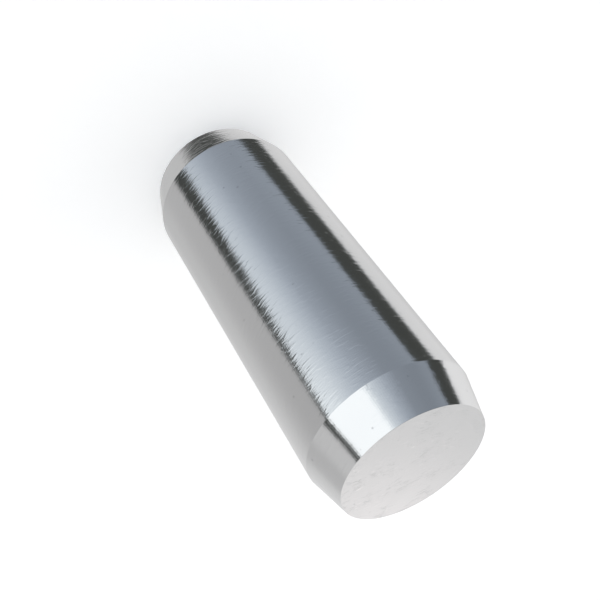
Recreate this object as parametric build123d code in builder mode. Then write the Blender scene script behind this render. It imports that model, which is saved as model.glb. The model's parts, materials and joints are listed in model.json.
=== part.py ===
"""A plain dowel pin: one solid steel cylinder with a shallow lead-in chamfer at each end.

The pin stands on its lower end face. The origin is the centre of that face, and +Z runs
up the pin's axis. Lengths are in millimetres and angles in degrees.
"""

import os
from math import radians, tan

from build123d import *

# Driving dimensions
pin_diameter = 6.0  # the ground wall that is pressed into a hole
pin_length = 16.0  # over both end faces
chamfer_length = 1.5  # of one chamfer, along the axis
chamfer_angle = 15.0  # of the chamfer's slope, from the axis

# Worked out from them
pin_radius = pin_diameter / 2
chamfer_depth = chamfer_length * tan(radians(chamfer_angle))
end_face_radius = pin_radius - chamfer_depth

# The pin is turned from bar, so it is its half section swept round the axis.
with BuildPart() as pin:
    with BuildSketch(Plane.XZ):
        with BuildLine():
            Polyline(
                (0, 0),
                (end_face_radius, 0),
                (pin_radius, chamfer_length),
                (pin_radius, pin_length - chamfer_length),
                (end_face_radius, pin_length),
                (0, pin_length),
                close=True,
            )
        make_face()
    revolve(axis=Axis.Z)

pin.part.label = "pin"

os.makedirs("parts", exist_ok=True)
export_step(pin.part, "parts/pin.step")
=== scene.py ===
"""Finished look of a ground steel dowel pin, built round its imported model, with its studio.

Run as a script, it builds everything in order. Each part is also an operator, listed with
its settings in the "Dowel pin" panel of the 3D view's sidebar. Lengths are in metres.
"""

import json
from math import cos, hypot, pi, radians, sin

import bpy
from mathutils import Matrix, Vector


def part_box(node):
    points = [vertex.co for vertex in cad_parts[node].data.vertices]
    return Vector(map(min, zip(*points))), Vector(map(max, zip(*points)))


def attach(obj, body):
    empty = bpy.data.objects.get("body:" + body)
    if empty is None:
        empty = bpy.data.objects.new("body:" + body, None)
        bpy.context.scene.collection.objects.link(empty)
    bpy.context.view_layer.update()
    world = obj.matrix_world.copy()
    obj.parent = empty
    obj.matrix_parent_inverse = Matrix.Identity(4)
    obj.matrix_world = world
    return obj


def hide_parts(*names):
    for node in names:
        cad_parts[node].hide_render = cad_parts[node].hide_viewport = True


bl_info = {
    "name": "Dowel Pin",
    "version": (1, 0, 0),
    "blender": (4, 5, 0),
    "location": "3D View > Sidebar > Dowel pin",
    "description": "Builds a ground steel dowel pin and the studio it stands in",
    "category": "Object",
}

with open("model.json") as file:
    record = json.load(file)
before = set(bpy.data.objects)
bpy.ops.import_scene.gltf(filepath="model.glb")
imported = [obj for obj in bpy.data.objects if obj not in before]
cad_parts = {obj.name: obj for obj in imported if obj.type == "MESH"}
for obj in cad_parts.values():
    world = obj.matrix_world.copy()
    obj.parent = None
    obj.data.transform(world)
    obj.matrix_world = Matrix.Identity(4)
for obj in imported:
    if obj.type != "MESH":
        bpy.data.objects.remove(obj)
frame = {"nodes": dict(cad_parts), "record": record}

MM = 0.001
NODE = "pin"
BODY = "root"
BAKE_MAP = "OFBake"

# Sockets of a Mix node that have a name in common, by number
MIX_VECTOR_A, MIX_VECTOR_B, MIX_VECTOR_OUT = 4, 5, 1
MIX_COLOUR_A, MIX_COLOUR_B, MIX_COLOUR_OUT = 6, 7, 2

# The pin's mesh
SHARP_FROM = radians(3)  # edges that bend less than this are smooth
WELD = 0.0005 * MM  # closes the seam and the poles
MAP_GAP = 0.3 * MM  # left round each part of the map that the surface is baked on

# Marks in the steel, with lengths in millimetres
STROKE_RUN = 0.2  # of the fine lines on the wall
GROOVE_RUN = 0.45
GROOVE_PITCH = 1.8  # times the line pitch
GROOVE_FROM, GROOVE_FULL = 0.53, 0.66  # noise levels
GROOVE_SHARE = 0.58  # of the line depth
DASH_RUN, DASH_PITCH = 0.3, 0.06  # of the dashes on the end faces
DASH_FROM, DASH_FULL = 0.57, 0.65  # noise levels
DASH_DEPTH = 3  # times the line depth
DASH_PATCH = 0.9  # size of the patches that hold dashes
# Painted shade: a darker steel that stands in for the shade inside each pit
PAINTED_PIT_SHADE_COLOUR = (0.3, 0.3, 0.32, 1.0)
# How far painted shade darkens the pits, and how much rougher the real pits are
WALL_PIT_SPACING, WALL_PIT_PAINTED_SHADE, WALL_PIT_ROUGHNESS = 0.5, 0.4, 0.12
FACE_PIT_SPACING, FACE_PIT_PAINTED_SHADE = 0.8, 0.2
WALL_SMUDGE_SIZE, WALL_SMUDGE_ROUGHNESS = 1.6, 0.03
FACE_SMUDGE_SIZE, FACE_SMUDGE_ROUGHNESS = 1.2, 0.05
FACE_EXTRA_ROUGHNESS = 0.03

# The studio, with angles in degrees and light levels where 1 is white. Azimuth 0 is ahead
# and 90 is right. A line of stops is (azimuth or angle, level or elevation).
BLACK = (0.0, 0.0, 0.0, 1.0)
GROUND_UNDERFOOT = (0.8, 0.8, 0.8, 1.0)
FAR_GROUND = (
    (-180, 0.78), (-112, 0.7), (-85, 0.52), (-38, 0.65), (0, 0.76), (27, 0.82),
    (50, 1.0), (90, 0.9), (180, 0.78),
)
FAR_GROUND_TO, UNDERFOOT_FROM = -8, -75
DULL_ELEVATION = -38
DULL_PATCHES = ((-108, 0.14), (-36, 0.1), (14, 0.17))  # azimuth, share of light lost
DULL_EDGE = (24, 8)
POOL_DIRECTION, POOL_EDGE = (112, -66), (15, 2)
POOL_LIGHT = (1.26, 1.22, 1.21, 1.0)
WINDOW_AZIMUTH = -114
WINDOW_SIDE, WINDOW_TOP = (22, 13), (70, 64)
WINDOW_LIGHT = (1.31, 1.36, 1.38, 1.0)
LOW_WALL = (
    (24, 1.25), (37, 0.9), (54, 0.72), (69, 0.55), (85, 0.46), (105, 0.4),
    (180, 0.37),
)
LOW_WALL_LOSS, LOW_WALL_LOSS_EDGE = 0.18, (26, 50)
HIGH_WALL_CENTRE, HIGH_WALL_EDGE = (-115, 50), (50, 66)
HIGH_WALL = ((16, 1.3), (24, 0.86), (40, 0.55), (56, 0.34), (90, 0.28), (180, 0.35))
DIM_WALL_TINT, BRIGHT_WALL_TINT = (0.885, 1.0, 1.15, 1.0), (0.94, 1.0, 1.03, 1.0)
TINT_LEVELS = (0.3, 1.2)
GROUND_EDGE = (4, 11)
SKIRTING_GREY = (0.068, 0.072, 0.068, 1.0)
SKIRTING_TOP = (
    (-180, 13.8), (-110, 13.8), (-84, 8.5), (-79, 11.5), (-72, 17), (-58, 20.5),
    (3, 24.5), (30, 31), (55, 28.5), (180, 27),
)
SKIRTING_FOOT = (
    (-100, 3.5), (-67, 3), (-40, 1.5), (-24, 2.7), (-12, 3), (16, 3.6),
    (50, 4.8), (180, 4.8),
)
SKIRTING_FOOT_BLUR, SKIRTING_TOP_BLUR = 4.6, (2, 1)  # above; above and below
FLOOR_GLOW = 0.3  # the light of its own that brings the floor up to white


# ---------------------------------------------------------------- sizes from the frame


def node_size():
    """Radius, end face radius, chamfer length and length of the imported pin."""
    corners = [v.co for v in frame["nodes"][NODE].data.vertices]
    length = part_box(NODE)[1].z
    radius = max(hypot(c.x, c.y) for c in corners)
    near = MM / 1000
    end_face = [hypot(c.x, c.y) for c in corners if c.z < near]
    wall = next(m for m in frame["record"]["mounts"] if m["name"] == "pin")
    chamfer = (length - wall["dims"]["length_mm"] * MM) / 2
    return radius, max(end_face), chamfer, length


RADIUS, END_FACE_RADIUS, CHAMFER, LENGTH = node_size()


# ---------------------------------------------------------------- settings


class DowelPinShape(bpy.types.PropertyGroup):
    edge_flat: bpy.props.FloatProperty(
        name="Edge flat",
        description="Half width of the narrow flat that deburring leaves on each edge",
        default=0.003 * MM,
        min=0.0,
        precision=6,
        subtype="DISTANCE",
        unit="LENGTH",
    )
    sides: bpy.props.IntProperty(
        name="Sides",
        description="Faces round the pin",
        default=256,
        min=32,
        max=720,
    )


class DowelPinFinish(bpy.types.PropertyGroup):
    steel: bpy.props.FloatVectorProperty(
        name="Steel",
        description="Colour of bare ground steel",
        default=(0.72, 0.72, 0.725),
        size=3,
        min=0.0,
        max=1.0,
        subtype="COLOR",
    )
    roughness: bpy.props.FloatProperty(
        name="Roughness",
        description="How far the ground surface spreads a reflection",
        default=0.11,
        min=0.0,
        max=1.0,
        subtype="FACTOR",
    )
    line_pitch: bpy.props.FloatProperty(
        name="Line pitch",
        description="Distance between the grinding lines that run round the wall",
        default=0.06 * MM,
        min=0.01 * MM,
        precision=6,
        subtype="DISTANCE",
        unit="LENGTH",
    )
    line_depth: bpy.props.FloatProperty(
        name="Line depth",
        description="Height of the tallest grinding line",
        default=0.0022 * MM,
        min=0.0,
        precision=6,
        subtype="DISTANCE",
        unit="LENGTH",
    )
    face_lay: bpy.props.FloatProperty(
        name="Face lay",
        description="Direction of the strokes on the end faces, from X",
        default=radians(-20),
        subtype="ANGLE",
        unit="ROTATION",
    )
    pit_size: bpy.props.FloatProperty(
        name="Pit size",
        description="Radius of the small pits left in the surface",
        default=0.045 * MM,
        min=0.0,
        precision=6,
        subtype="DISTANCE",
        unit="LENGTH",
    )


class DowelPinStudio(bpy.types.PropertyGroup):
    floor_radius: bpy.props.FloatProperty(
        name="Floor radius",
        description="Radius of the round floor",
        default=0.6,
        min=0.05,
        subtype="DISTANCE",
        unit="LENGTH",
    )
    floor_white: bpy.props.FloatVectorProperty(
        name="Floor",
        description="Colour of the floor and the backdrop",
        default=(0.92, 0.92, 0.92),
        size=3,
        min=0.0,
        max=1.0,
        subtype="COLOR",
    )
    sight_pitch: bpy.props.FloatProperty(
        name="Sight pitch",
        description="How far the line of sight dips in the studio, where the pin lies down",
        default=radians(45),
        subtype="ANGLE",
        unit="ROTATION",
    )
    pin_turn: bpy.props.FloatProperty(
        name="Pin turn",
        description="How far the pin's axis is turned from the line of sight, seen from above",
        default=radians(26.28),
        subtype="ANGLE",
        unit="ROTATION",
    )
    distance: bpy.props.FloatProperty(
        name="Distance",
        description="From the lens to the middle of the pin",
        default=30.8 * MM,
        min=MM,
        precision=5,
        subtype="DISTANCE",
        unit="LENGTH",
    )
    lens: bpy.props.FloatProperty(
        name="Lens",
        description="Focal length of the lens, in millimetres",
        default=50.0,
        min=10.0,
        subtype="DISTANCE_CAMERA",
        unit="CAMERA",
    )


# ---------------------------------------------------------------- node helpers


def add_node(tree, kind, settings=None, inputs=None):
    """A node of that kind. Each input is given a value, or is linked where it is given a socket."""
    node = tree.nodes.new(kind)
    for name, value in (settings or {}).items():
        setattr(node, name, value)
    for name, value in (inputs or {}).items():
        if isinstance(value, bpy.types.NodeSocket):
            tree.links.new(value, node.inputs[name])
        elif value is not None:
            node.inputs[name].default_value = value
    return node


def maths(tree, operation, *values):
    """The value that a Math node puts out."""
    node = add_node(
        tree, "ShaderNodeMath", {"operation": operation}, dict(enumerate(values))
    )
    return node.outputs[0]


def vector_maths(tree, operation, *values, scale=None):
    """The vector that a Vector Math node puts out, or the value where it makes one."""
    inputs = dict(enumerate(values))
    if scale is not None:
        inputs["Scale"] = scale
    node = add_node(tree, "ShaderNodeVectorMath", {"operation": operation}, inputs)
    return node.outputs["Value" if operation in ("DOT_PRODUCT", "LENGTH") else "Vector"]


def fade(tree, value, start, end):
    """0 up to start and 1 from end on, with a smooth rise between them."""
    node = add_node(
        tree,
        "ShaderNodeMapRange",
        {"interpolation_type": "SMOOTHSTEP"},
        {"Value": value, "From Min": start, "From Max": end},
    )
    return node.outputs["Result"]


def ramp(tree, value, low, high, stops):
    """The colour at value, between the stops: (place from low to high, grey level)."""
    place = add_node(
        tree,
        "ShaderNodeMapRange",
        None,
        {"Value": value, "From Min": low, "From Max": high},
    )
    node = add_node(
        tree, "ShaderNodeValToRGB", None, {"Fac": place.outputs["Result"]}
    )
    elements = node.color_ramp.elements
    while len(elements) < len(stops):
        elements.new(0.5)
    for element, (at, level) in zip(elements, stops, strict=True):
        element.position = (at - low) / (high - low)
        element.color = (level, level, level, 1.0)
    return node.outputs["Color"]


def profile(tree, azimuth, stops):
    """The height at that azimuth, between the stops: (azimuth, height), both in degrees."""
    highest = 90.0
    shares = [(at, height / highest) for at, height in stops]
    level = ramp(tree, azimuth, -180.0, 180.0, shares)
    return maths(tree, "MULTIPLY", level, highest)


def mix_colours(tree, factor, first, second, blend="MIX"):
    """The colour that a Mix node puts out."""
    node = add_node(
        tree,
        "ShaderNodeMix",
        {"data_type": "RGBA", "blend_type": blend},
        {"Factor": factor, MIX_COLOUR_A: first, MIX_COLOUR_B: second},
    )
    return node.outputs[MIX_COLOUR_OUT]


def mix_vectors(tree, factor, first, second):
    """The vector that a Mix node puts out."""
    node = add_node(
        tree,
        "ShaderNodeMix",
        {"data_type": "VECTOR"},
        {"Factor": factor, MIX_VECTOR_A: first, MIX_VECTOR_B: second},
    )
    return node.outputs[MIX_VECTOR_OUT]


def join_xyz(tree, **values):
    """The vector of those values, each given as X, Y or Z."""
    return add_node(tree, "ShaderNodeCombineXYZ", None, values).outputs[0]


def split_xyz(tree, vector):
    """The sockets X, Y and Z of a vector."""
    return add_node(tree, "ShaderNodeSeparateXYZ", None, {0: vector}).outputs


def new_group(name, kind, inputs, outputs):
    """An empty node group with those sockets: (name, socket type, default)."""
    group = bpy.data.node_groups.new(name, kind)
    for socket, socket_type, default in inputs:
        made = group.interface.new_socket(
            socket, in_out="INPUT", socket_type=socket_type
        )
        if default is not None:
            made.default_value = default
    for socket, socket_type in outputs:
        group.interface.new_socket(socket, in_out="OUTPUT", socket_type=socket_type)
    return group


def use_group(tree, group, inputs):
    """What a shader node group puts out for those inputs."""
    node = add_node(tree, "ShaderNodeGroup", {"node_tree": group}, inputs)
    return node.outputs[0]


# ---------------------------------------------------------------- the pin's shape


def profile_points(tree, sizes, flat):
    """The half section's points, from the centre of the lower face to that of the upper one.

    Each edge is a narrow flat, so it has two points, one on each of the surfaces it joins.
    """
    face_corner = join_xyz(tree, X=sizes["End face radius"])
    wall_corner = join_xyz(tree, X=sizes["Radius"], Z=sizes["Chamfer"])
    run = vector_maths(tree, "SUBTRACT", wall_corner, face_corner)
    slope = vector_maths(tree, "NORMALIZE", run)
    up_slope = vector_maths(tree, "SCALE", slope, scale=flat)
    along_face = vector_maths(tree, "SCALE", (1.0, 0.0, 0.0), scale=flat)
    up_wall = vector_maths(tree, "SCALE", (0.0, 0.0, 1.0), scale=flat)
    lower_half = [
        (0.0, 0.0, 0.0),
        vector_maths(tree, "SUBTRACT", face_corner, along_face),
        vector_maths(tree, "ADD", face_corner, up_slope),
        vector_maths(tree, "SUBTRACT", wall_corner, up_slope),
        vector_maths(tree, "ADD", wall_corner, up_wall),
    ]
    top = join_xyz(tree, Z=sizes["Length"])
    mirrored = (1.0, 1.0, -1.0)
    upper_half = [
        vector_maths(tree, "MULTIPLY_ADD", point, mirrored, top)
        for point in reversed(lower_half)
    ]
    return lower_half + upper_half


def bake_map(tree, geometry, round_factor, on_low_face, on_high_face):
    """Stores the map that the surface is baked on.

    It has the side as one sheet, and the two end faces next to each other beyond it.
    """
    gap = MAP_GAP
    sheet = 2 * pi * RADIUS + 2 * gap
    side = LENGTH + 2 * gap
    span = max(sheet, side + 2 * END_FACE_RADIUS + gap)
    position = add_node(tree, "GeometryNodeInputPosition").outputs[0]
    along = maths(tree, "MULTIPLY_ADD", round_factor, 2 * pi * RADIUS, gap)
    up = maths(tree, "ADD", split_xyz(tree, position)["Z"], gap)
    faces_at = side + END_FACE_RADIUS
    low_face = vector_maths(tree, "ADD", position, (gap + END_FACE_RADIUS, faces_at, 0.0))
    high_face = vector_maths(
        tree, "ADD", position, (2 * gap + 3 * END_FACE_RADIUS, faces_at, 0.0)
    )
    place = mix_vectors(tree, on_low_face, join_xyz(tree, X=along, Y=up), low_face)
    place = mix_vectors(tree, on_high_face, place, high_face)
    stored = add_node(
        tree,
        "GeometryNodeStoreNamedAttribute",
        {"data_type": "FLOAT2", "domain": "CORNER"},
        {
            "Geometry": geometry,
            "Name": BAKE_MAP,
            "Value": vector_maths(tree, "SCALE", place, scale=1 / span),
        },
    )
    return stored.outputs[0]


def turned_pin_tree(wall_steel, face_steel):
    """A node tree that turns the half section round the axis."""
    sizes = [
        ("Radius", "NodeSocketFloat", RADIUS),
        ("End face radius", "NodeSocketFloat", END_FACE_RADIUS),
        ("Chamfer", "NodeSocketFloat", CHAMFER),
        ("Length", "NodeSocketFloat", LENGTH),
        ("Edge flat", "NodeSocketFloat", 0.0),
        ("Sides", "NodeSocketInt", 64),
    ]
    tree = new_group(
        "Turned pin", "GeometryNodeTree", sizes, [("Geometry", "NodeSocketGeometry")]
    )
    given = add_node(tree, "NodeGroupInput").outputs
    points = profile_points(tree, given, given["Edge flat"])
    rows = len(points)

    # A sheet one unit square, with a column for each side and a row for each point
    columns = maths(tree, "ADD", given["Sides"], 1.0)
    sheet = add_node(
        tree,
        "GeometryNodeMeshGrid",
        None,
        {"Size X": 1.0, "Size Y": 1.0, "Vertices X": columns, "Vertices Y": rows},
    ).outputs["Mesh"]
    flat_place = vector_maths(
        tree,
        "ADD",
        add_node(tree, "GeometryNodeInputPosition").outputs[0],
        (0.5, 0.5, 0.0),
    )
    across = split_xyz(tree, flat_place)
    captured = tree.nodes.new("GeometryNodeCaptureAttribute")
    captured.capture_items.new("FLOAT", "Round")
    captured.capture_items.new("FLOAT", "Row")
    tree.links.new(sheet, captured.inputs["Geometry"])
    tree.links.new(across["X"], captured.inputs["Round"])
    tree.links.new(
        maths(tree, "ROUND", maths(tree, "MULTIPLY", across["Y"], rows - 1.0)),
        captured.inputs["Row"],
    )
    round_factor, row = captured.outputs["Round"], captured.outputs["Row"]

    # Each row takes its point's radius and height, and each column its turn
    choice = tree.nodes.new("GeometryNodeIndexSwitch")
    choice.data_type = "VECTOR"
    while len(choice.index_switch_items) < rows:
        choice.index_switch_items.new()
    tree.links.new(row, choice.inputs["Index"])
    for number, point in enumerate(points):
        if isinstance(point, bpy.types.NodeSocket):
            tree.links.new(point, choice.inputs[number + 1])
        else:
            choice.inputs[number + 1].default_value = point
    section = split_xyz(tree, choice.outputs[0])
    turn = maths(tree, "MULTIPLY", round_factor, 2 * pi)
    place = join_xyz(
        tree,
        X=maths(tree, "MULTIPLY", section["X"], maths(tree, "COSINE", turn)),
        Y=maths(tree, "MULTIPLY", section["X"], maths(tree, "SINE", turn)),
        Z=section["Z"],
    )
    turned = add_node(
        tree,
        "GeometryNodeSetPosition",
        None,
        {"Geometry": captured.outputs["Geometry"], "Position": place},
    ).outputs[0]

    # The first and last rows of faces are the end faces
    face_row = add_node(
        tree,
        "GeometryNodeFieldOnDomain",
        {"domain": "FACE", "data_type": "FLOAT"},
        {0: row},
    ).outputs[0]
    on_low_face = maths(tree, "LESS_THAN", face_row, 1.0)
    on_high_face = maths(tree, "GREATER_THAN", face_row, rows - 2.0)
    mapped = bake_map(tree, turned, round_factor, on_low_face, on_high_face)
    walled = add_node(
        tree,
        "GeometryNodeSetMaterial",
        None,
        {"Geometry": mapped, "Material": wall_steel},
    ).outputs[0]
    faced = add_node(
        tree,
        "GeometryNodeSetMaterial",
        None,
        {
            "Geometry": walled,
            "Selection": maths(tree, "ADD", on_low_face, on_high_face),
            "Material": face_steel,
        },
    ).outputs[0]
    closed = add_node(
        tree,
        "GeometryNodeMergeByDistance",
        None,
        {"Geometry": faced, "Distance": WELD},
    ).outputs[0]
    bend = add_node(tree, "GeometryNodeInputMeshEdgeAngle").outputs["Unsigned Angle"]
    smooth_edges = maths(tree, "LESS_THAN", bend, SHARP_FROM)
    shaded = add_node(
        tree,
        "GeometryNodeSetShadeSmooth",
        {"domain": "EDGE"},
        {"Geometry": closed, "Shade Smooth": smooth_edges},
    ).outputs[0]
    real = add_node(
        tree, "GeometryNodeRealizeInstances", None, {"Geometry": shaded}
    ).outputs[0]
    out = tree.nodes.new("NodeGroupOutput")
    tree.links.new(real, out.inputs["Geometry"])
    return tree


def piece_from_tree(name, tree, values):
    """A plain mesh object of what the tree makes with those input values."""
    seed = bpy.data.objects.new(name + "_seed", bpy.data.meshes.new(name + "_seed"))
    bpy.context.scene.collection.objects.link(seed)
    modifier = seed.modifiers.new(tree.name, "NODES")
    modifier.node_group = tree
    for item in tree.interface.items_tree:
        if item.in_out == "INPUT" and item.name in values:
            modifier[item.identifier] = values[item.name]
    evaluated = seed.evaluated_get(bpy.context.evaluated_depsgraph_get())
    mesh = bpy.data.meshes.new_from_object(evaluated)
    seed.modifiers.remove(modifier)
    bpy.data.objects.remove(seed)
    mesh.name = name
    piece = bpy.data.objects.new(name, mesh)
    bpy.context.scene.collection.objects.link(piece)
    return piece


# ---------------------------------------------------------------- the steel


def lines_group():
    """Fine lines that run one way: long in X and Y of the vector, close together in Z."""
    group = new_group(
        "Grinding lines",
        "ShaderNodeTree",
        [
            ("Place", "NodeSocketVector", None),
            ("Run", "NodeSocketFloat", 4.0),
            ("Pitch", "NodeSocketFloat", 0.1),
            ("Detail", "NodeSocketFloat", 2.0),
        ],
        [("Height", "NodeSocketFloat")],
    )
    given = add_node(group, "NodeGroupInput").outputs
    scales = join_xyz(group, X=given["Run"], Y=given["Run"], Z=given["Pitch"])
    noise = add_node(
        group,
        "ShaderNodeTexNoise",
        {"noise_dimensions": "3D"},
        {
            "Vector": vector_maths(group, "DIVIDE", given["Place"], scales),
            "Scale": 1.0,
            "Detail": given["Detail"],
            "Roughness": 0.6,
        },
    )
    out = group.nodes.new("NodeGroupOutput")
    group.links.new(noise.outputs[0], out.inputs["Height"])
    return group


def pits_group():
    """Small round pits, a few in every square millimetre."""
    group = new_group(
        "Pits",
        "ShaderNodeTree",
        [
            ("Place", "NodeSocketVector", None),
            ("Size", "NodeSocketFloat", 0.045),
            ("Spacing", "NodeSocketFloat", 0.6),
        ],
        [("Mask", "NodeSocketFloat")],
    )
    given = add_node(group, "NodeGroupInput").outputs
    near = add_node(
        group,
        "ShaderNodeTexVoronoi",
        {"voronoi_dimensions": "3D", "feature": "F1"},
        {
            "Vector": vector_maths(
                group,
                "SCALE",
                given["Place"],
                scale=maths(group, "DIVIDE", 1.0, given["Spacing"]),
            ),
            "Scale": 1.0,
        },
    )
    reach = maths(group, "MULTIPLY", near.outputs["Distance"], given["Spacing"])
    luck = add_node(
        group, "ShaderNodeSeparateColor", None, {0: near.outputs["Color"]}
    ).outputs[0]
    size = maths(group, "MULTIPLY", given["Size"], maths(group, "ADD", luck, 0.5))
    mask = maths(group, "SUBTRACT", 1.0, fade(group, reach, 0.0, size))
    out = group.nodes.new("NodeGroupOutput")
    group.links.new(mask, out.inputs["Mask"])
    return group


def smudges_group():
    """Broad soft patches where the surface is a little duller."""
    group = new_group(
        "Smudges",
        "ShaderNodeTree",
        [("Place", "NodeSocketVector", None), ("Size", "NodeSocketFloat", 1.5)],
        [("Mask", "NodeSocketFloat")],
    )
    given = add_node(group, "NodeGroupInput").outputs
    noise = add_node(
        group,
        "ShaderNodeTexNoise",
        {"noise_dimensions": "3D"},
        {
            "Vector": vector_maths(
                group,
                "SCALE",
                given["Place"],
                scale=maths(group, "DIVIDE", 1.0, given["Size"]),
            ),
            "Scale": 1.0,
            "Detail": 3.0,
            "Roughness": 0.55,
        },
    )
    out = group.nodes.new("NodeGroupOutput")
    group.links.new(fade(group, noise.outputs[0], 0.4, 0.7), out.inputs["Mask"])
    return group


def place_in_mm(tree, turn=0.0):
    """Where the shading point is on the piece, in millimetres, turned about the axis."""
    coordinates = tree.nodes.new("ShaderNodeTexCoord")
    mapping = add_node(
        tree,
        "ShaderNodeMapping",
        {"vector_type": "POINT"},
        {
            "Vector": coordinates.outputs["Object"],
            "Rotation": (0.0, 0.0, turn),
            "Scale": (1 / MM, 1 / MM, 1 / MM),
        },
    )
    return mapping.outputs[0]


def new_steel(name):
    """A bare metal material and its node tree and shader."""
    material = bpy.data.materials.new(name)
    material.use_nodes = True
    tree = material.node_tree
    shader = tree.nodes["Principled BSDF"]
    shader.inputs["Metallic"].default_value = 1.0
    return material, tree, shader


def bump(tree, height, distance):
    """The normal of a surface with that height, where a height of 1 is the distance."""
    inputs = {"Strength": 1.0, "Distance": distance, "Height": height}
    return add_node(tree, "ShaderNodeBump", None, inputs).outputs["Normal"]


def colour_with_painted_pit_shade(tree, finish, pit, pit_shade_share):
    """The steel's colour, darkened in the pits with painted shade."""
    share = maths(tree, "MULTIPLY", pit, pit_shade_share)
    return mix_colours(tree, share, (*finish.steel, 1.0), PAINTED_PIT_SHADE_COLOUR)


def wall_steel(finish, lines, pits, smudges):
    """Steel ground while it turned: lines round the wall and the chamfers."""
    material, tree, shader = new_steel("ground_steel_wall")
    place = place_in_mm(tree)
    pitch = finish.line_pitch / MM
    fine = use_group(
        tree, lines, {"Place": place, "Run": STROKE_RUN, "Pitch": pitch, "Detail": 1.0}
    )
    coarse = use_group(
        tree,
        lines,
        {"Place": place, "Run": GROOVE_RUN, "Pitch": GROOVE_PITCH * pitch, "Detail": 0.0},
    )
    grooves = fade(tree, coarse, GROOVE_FROM, GROOVE_FULL)
    height = maths(tree, "MULTIPLY_ADD", grooves, GROOVE_SHARE, fine)
    pit_settings = {"Size": finish.pit_size / MM, "Spacing": WALL_PIT_SPACING}
    pit = use_group(tree, pits, {"Place": place, **pit_settings})
    smudge = use_group(tree, smudges, {"Place": place, "Size": WALL_SMUDGE_SIZE})
    # The pits get painted shade in the colour, and real extra roughness below
    colour = colour_with_painted_pit_shade(tree, finish, pit, WALL_PIT_PAINTED_SHADE)
    rough = maths(
        tree, "MULTIPLY_ADD", smudge, WALL_SMUDGE_ROUGHNESS, finish.roughness
    )
    rough = maths(tree, "MULTIPLY_ADD", pit, WALL_PIT_ROUGHNESS, rough)
    tree.links.new(colour, shader.inputs["Base Color"])
    tree.links.new(rough, shader.inputs["Roughness"])
    normal = bump(tree, height, finish.line_depth)
    tree.links.new(normal, shader.inputs["Normal"])
    return material


def face_steel(finish, lines, pits, smudges):
    """Steel ground flat: straight strokes across the end faces."""
    material, tree, shader = new_steel("ground_steel_end_face")
    place = place_in_mm(tree, -finish.face_lay)
    axes = split_xyz(tree, place)
    across_strokes = join_xyz(tree, X=axes["X"], Y=axes["Z"], Z=axes["Y"])
    strokes = use_group(
        tree,
        lines,
        {"Place": across_strokes, "Run": DASH_RUN, "Pitch": DASH_PITCH, "Detail": 1.0},
    )
    pit_settings = {"Size": finish.pit_size / MM, "Spacing": FACE_PIT_SPACING}
    pit = use_group(tree, pits, {"Place": place, **pit_settings})
    smudge = use_group(tree, smudges, {"Place": place, "Size": FACE_SMUDGE_SIZE})
    # The pits on the end faces get painted shade in the colour
    colour = colour_with_painted_pit_shade(tree, finish, pit, FACE_PIT_PAINTED_SHADE)
    base_roughness = finish.roughness + FACE_EXTRA_ROUGHNESS
    rough = maths(tree, "MULTIPLY_ADD", smudge, FACE_SMUDGE_ROUGHNESS, base_roughness)
    tree.links.new(colour, shader.inputs["Base Color"])
    tree.links.new(rough, shader.inputs["Roughness"])
    patch = use_group(tree, smudges, {"Place": place, "Size": DASH_PATCH})
    dashes = maths(tree, "MULTIPLY", fade(tree, strokes, DASH_FROM, DASH_FULL), patch)
    normal = bump(tree, dashes, DASH_DEPTH * finish.line_depth)
    tree.links.new(normal, shader.inputs["Normal"])
    return material


# ---------------------------------------------------------------- the studio


def studio_axes(settings):
    """The pin's frame as rows of studio axes. The studio has +X right, +Y ahead and +Z up.

    The view is composed as if the pin lay on its side in the studio. It stands on its end,
    so the studio and the camera are turned with it.
    """
    turn, pitch = settings.pin_turn, settings.sight_pitch
    sight = Vector((0.0, cos(pitch), -sin(pitch)))
    pin_z = Vector((sin(turn), -cos(turn), 0.0))
    pin_y = (sight - sight.dot(pin_z) * pin_z).normalized()
    pin_x = pin_y.cross(pin_z)
    return Matrix((pin_x, pin_y, pin_z))


def make_camera(settings):
    """A camera that looks at the middle of the pin, rolled as the studio is."""
    pin_from_studio = studio_axes(settings)
    pitch = settings.sight_pitch
    right = pin_from_studio @ Vector((1.0, 0.0, 0.0))
    up = pin_from_studio @ Vector((0.0, sin(pitch), cos(pitch)))
    back = pin_from_studio @ Vector((0.0, -cos(pitch), sin(pitch)))
    data = bpy.data.cameras.new("camera")
    data.lens = settings.lens
    data.sensor_width = 36.0
    data.clip_start = MM
    data.clip_end = 10.0
    camera = bpy.data.objects.new("camera", data)
    bpy.context.scene.collection.objects.link(camera)
    turned = Matrix((right, up, back)).transposed().to_4x4()
    middle = Vector((0.0, 0.0, LENGTH / 2))
    camera.matrix_world = Matrix.Translation(middle + back * settings.distance) @ turned
    bpy.context.scene.camera = camera


def from_angles(azimuth, elevation):
    """A direction in the studio, where azimuth 0 is ahead and 90 is right, in degrees."""
    a, e = radians(azimuth), radians(elevation)
    return Vector((sin(a) * cos(e), cos(a) * cos(e), sin(e)))


def apart_from(tree, direction, azimuth, elevation):
    """The angle in degrees between the direction and a fixed one."""
    cosine = vector_maths(
        tree, "DOT_PRODUCT", direction, from_angles(azimuth, elevation)
    )
    return maths(tree, "DEGREES", maths(tree, "ARCCOSINE", cosine))


def ground_light(tree, direction, azimuth, elevation):
    """Pale ground: dimmer to the left, brighter to the right, and even underfoot."""
    far = ramp(tree, azimuth, -180.0, 180.0, FAR_GROUND)
    below = fade(tree, elevation, FAR_GROUND_TO, UNDERFOOT_FROM)
    ground = mix_colours(tree, below, far, GROUND_UNDERFOOT)
    for side, share in DULL_PATCHES:
        dull = fade(tree, apart_from(tree, direction, side, DULL_ELEVATION), *DULL_EDGE)
        ground = mix_colours(tree, maths(tree, "MULTIPLY", dull, share), ground, BLACK)
    pool = fade(tree, apart_from(tree, direction, *POOL_DIRECTION), *POOL_EDGE)
    return mix_colours(tree, pool, ground, POOL_LIGHT)


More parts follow.
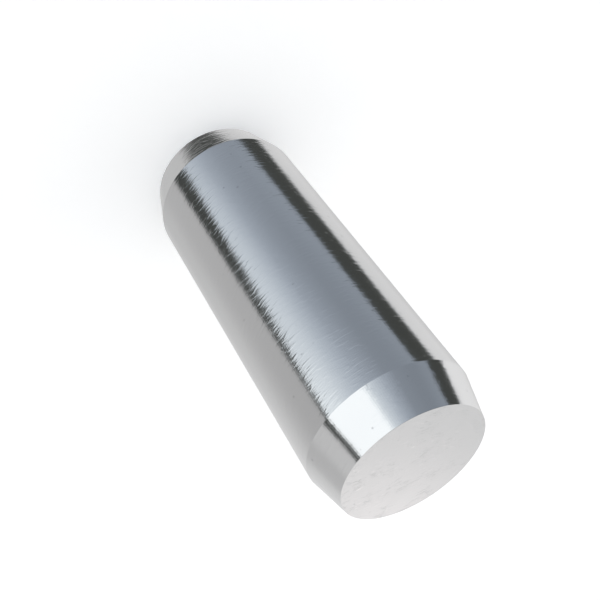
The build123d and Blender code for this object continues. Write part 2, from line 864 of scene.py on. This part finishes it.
def wall_light(tree, direction, azimuth, elevation):
    """Cool grey wall, brighter towards the window on the left."""
    turned = maths(tree, "SUBTRACT", azimuth, WINDOW_AZIMUTH)
    from_window = maths(tree, "PINGPONG", turned, 180.0)
    low = ramp(tree, from_window, 0.0, 180.0, LOW_WALL)
    loss = fade(tree, elevation, *LOW_WALL_LOSS_EDGE)
    low = mix_colours(tree, maths(tree, "MULTIPLY", loss, LOW_WALL_LOSS), low, BLACK)
    from_centre = apart_from(tree, direction, *HIGH_WALL_CENTRE)
    high = ramp(tree, from_centre, 0.0, 180.0, HIGH_WALL)
    light = mix_colours(tree, fade(tree, elevation, *HIGH_WALL_EDGE), low, high)
    tint = mix_colours(
        tree, fade(tree, light, *TINT_LEVELS), DIM_WALL_TINT, BRIGHT_WALL_TINT
    )
    wall = mix_colours(tree, 1.0, light, tint, "MULTIPLY")
    below_top = fade(tree, elevation, *WINDOW_TOP)
    window = maths(tree, "MULTIPLY", below_top, fade(tree, from_window, *WINDOW_SIDE))
    return mix_colours(tree, window, wall, WINDOW_LIGHT)


def make_surround(settings):
    """The studio as the world: pale ground, dark skirting, a cool wall and a window."""
    world = bpy.data.worlds.new("studio_surround")
    bpy.context.scene.world = world
    world.use_nodes = True
    tree = world.node_tree
    background = tree.nodes["Background"]
    coordinates = tree.nodes.new("ShaderNodeTexCoord")
    studio_turn = studio_axes(settings).transposed().to_euler()
    direction = add_node(
        tree,
        "ShaderNodeMapping",
        {"vector_type": "VECTOR"},
        {"Vector": coordinates.outputs["Generated"], "Rotation": studio_turn},
    ).outputs[0]
    direction = vector_maths(tree, "NORMALIZE", direction)
    axes = split_xyz(tree, direction)
    elevation = maths(tree, "DEGREES", maths(tree, "ARCSINE", axes["Z"]))
    azimuth = maths(tree, "DEGREES", maths(tree, "ARCTAN2", axes["X"], axes["Y"]))
    ground = ground_light(tree, direction, azimuth, elevation)
    wall = wall_light(tree, direction, azimuth, elevation)
    surround = mix_colours(tree, fade(tree, elevation, *GROUND_EDGE), ground, wall)

    # Dark skirting between the ground and the wall
    top, foot = profile(tree, azimuth, SKIRTING_TOP), profile(tree, azimuth, SKIRTING_FOOT)
    blur_above, blur_below = SKIRTING_TOP_BLUR
    above_foot = fade(tree, elevation, foot, maths(tree, "ADD", foot, SKIRTING_FOOT_BLUR))
    below_top = fade(
        tree,
        elevation,
        maths(tree, "ADD", top, blur_above),
        maths(tree, "SUBTRACT", top, blur_below),
    )
    skirting = maths(tree, "MULTIPLY", above_foot, below_top)
    surround = mix_colours(tree, skirting, surround, SKIRTING_GREY)
    tree.links.new(surround, background.inputs["Color"])


def white_surface(settings):
    """A white that gives some light of its own, as the surround alone leaves it grey."""
    material = bpy.data.materials.new("white_floor")
    material.use_nodes = True
    tree = material.node_tree
    shader = tree.nodes["Principled BSDF"]
    shader.inputs["Base Color"].default_value = (*settings.floor_white, 1.0)
    shader.inputs["Roughness"].default_value = 1.0
    shader.inputs["Specular IOR Level"].default_value = 0.0
    shader.inputs["Emission Color"].default_value = (1.0, 1.0, 1.0, 1.0)
    shader.inputs["Emission Strength"].default_value = FLOOR_GLOW
    return material


def make_floor(settings):
    """A round floor that turns up into a wall all round, as a studio cove does."""
    floor_radius = settings.floor_radius
    sides, rise = 96, 12
    bend = floor_radius / 4
    section = [(0.0, 0.0), (floor_radius - bend, 0.0)]
    for step in range(1, rise + 1):
        angle = step / rise * pi / 2
        section.append((floor_radius - bend + bend * sin(angle), bend * (1 - cos(angle))))
    section.append((floor_radius, floor_radius))
    vertices, faces = [(0.0, 0.0, 0.0)], []
    for radius, height in section[1:]:
        for side in range(sides):
            turn = 2 * pi * side / sides
            vertices.append((radius * cos(turn), radius * sin(turn), height))
    for side in range(sides):
        after = (side + 1) % sides
        faces.append((0, 1 + side, 1 + after))
        for row in range(len(section) - 2):
            low, high = 1 + row * sides, 1 + (row + 1) * sides
            faces.append((low + side, high + side, high + after, low + after))
    mesh = bpy.data.meshes.new("floor")
    mesh.from_pydata(vertices, [], faces)
    mesh.shade_smooth()
    mesh.materials.append(white_surface(settings))
    floor = bpy.data.objects.new("floor", mesh)
    bpy.context.scene.collection.objects.link(floor)
    # The steel reflects the surround's uneven ground, and not this floor
    floor.visible_glossy = False
    return floor


# ---------------------------------------------------------------- operators


class DOWEL_OT_pin(bpy.types.Operator):
    """Turn the pin from its half section and finish its steel"""

    bl_idname = "dowel.pin"
    bl_label = "Build pin"

    def execute(self, context):
        shape = context.scene.dowel_pin_shape
        finish = context.scene.dowel_pin_finish
        groups = (lines_group(), pits_group(), smudges_group())
        tree = turned_pin_tree(wall_steel(finish, *groups), face_steel(finish, *groups))
        pin = piece_from_tree(
            "ground_pin", tree, {"Edge flat": shape.edge_flat, "Sides": shape.sides}
        )
        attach(pin, BODY)
        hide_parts(NODE)
        return {"FINISHED"}


class DOWEL_OT_stage(bpy.types.Operator):
    """Build the floor, the surround and the camera"""

    bl_idname = "dowel.stage"
    bl_label = "Build studio"

    def execute(self, context):
        settings = context.scene.dowel_pin_studio
        make_floor(settings)
        make_surround(settings)
        make_camera(settings)
        context.scene.view_settings.view_transform = "Standard"
        return {"FINISHED"}


class DOWEL_PT_panel(bpy.types.Panel):
    """The pin's settings and the buttons that build it"""

    bl_label = "Dowel pin"
    bl_idname = "DOWEL_PT_panel"
    bl_space_type = "VIEW_3D"
    bl_region_type = "UI"
    bl_category = "Dowel pin"

    def draw(self, context):
        scene = context.scene
        groups = [
            (scene.dowel_pin_shape, None),
            (scene.dowel_pin_finish, DOWEL_OT_pin),
            (scene.dowel_pin_studio, DOWEL_OT_stage),
        ]
        for settings, operator in groups:
            box = self.layout.box()
            for name in settings.bl_rna.properties.keys():
                if name not in ("rna_type", "name"):
                    box.prop(settings, name)
            if operator:
                box.operator(operator.bl_idname)


CLASSES = (
    DowelPinShape,
    DowelPinFinish,
    DowelPinStudio,
    DOWEL_OT_pin,
    DOWEL_OT_stage,
    DOWEL_PT_panel,
)


def register():
    for one in CLASSES:
        bpy.utils.register_class(one)
    scene = bpy.types.Scene
    scene.dowel_pin_shape = bpy.props.PointerProperty(type=DowelPinShape)
    scene.dowel_pin_finish = bpy.props.PointerProperty(type=DowelPinFinish)
    scene.dowel_pin_studio = bpy.props.PointerProperty(type=DowelPinStudio)


def unregister():
    del bpy.types.Scene.dowel_pin_studio
    del bpy.types.Scene.dowel_pin_finish
    del bpy.types.Scene.dowel_pin_shape
    for one in reversed(CLASSES):
        bpy.utils.unregister_class(one)


def main():
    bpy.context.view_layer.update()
    register()
    bpy.ops.dowel.pin()
    bpy.ops.dowel.stage()


if __name__ == "__main__":
    main()
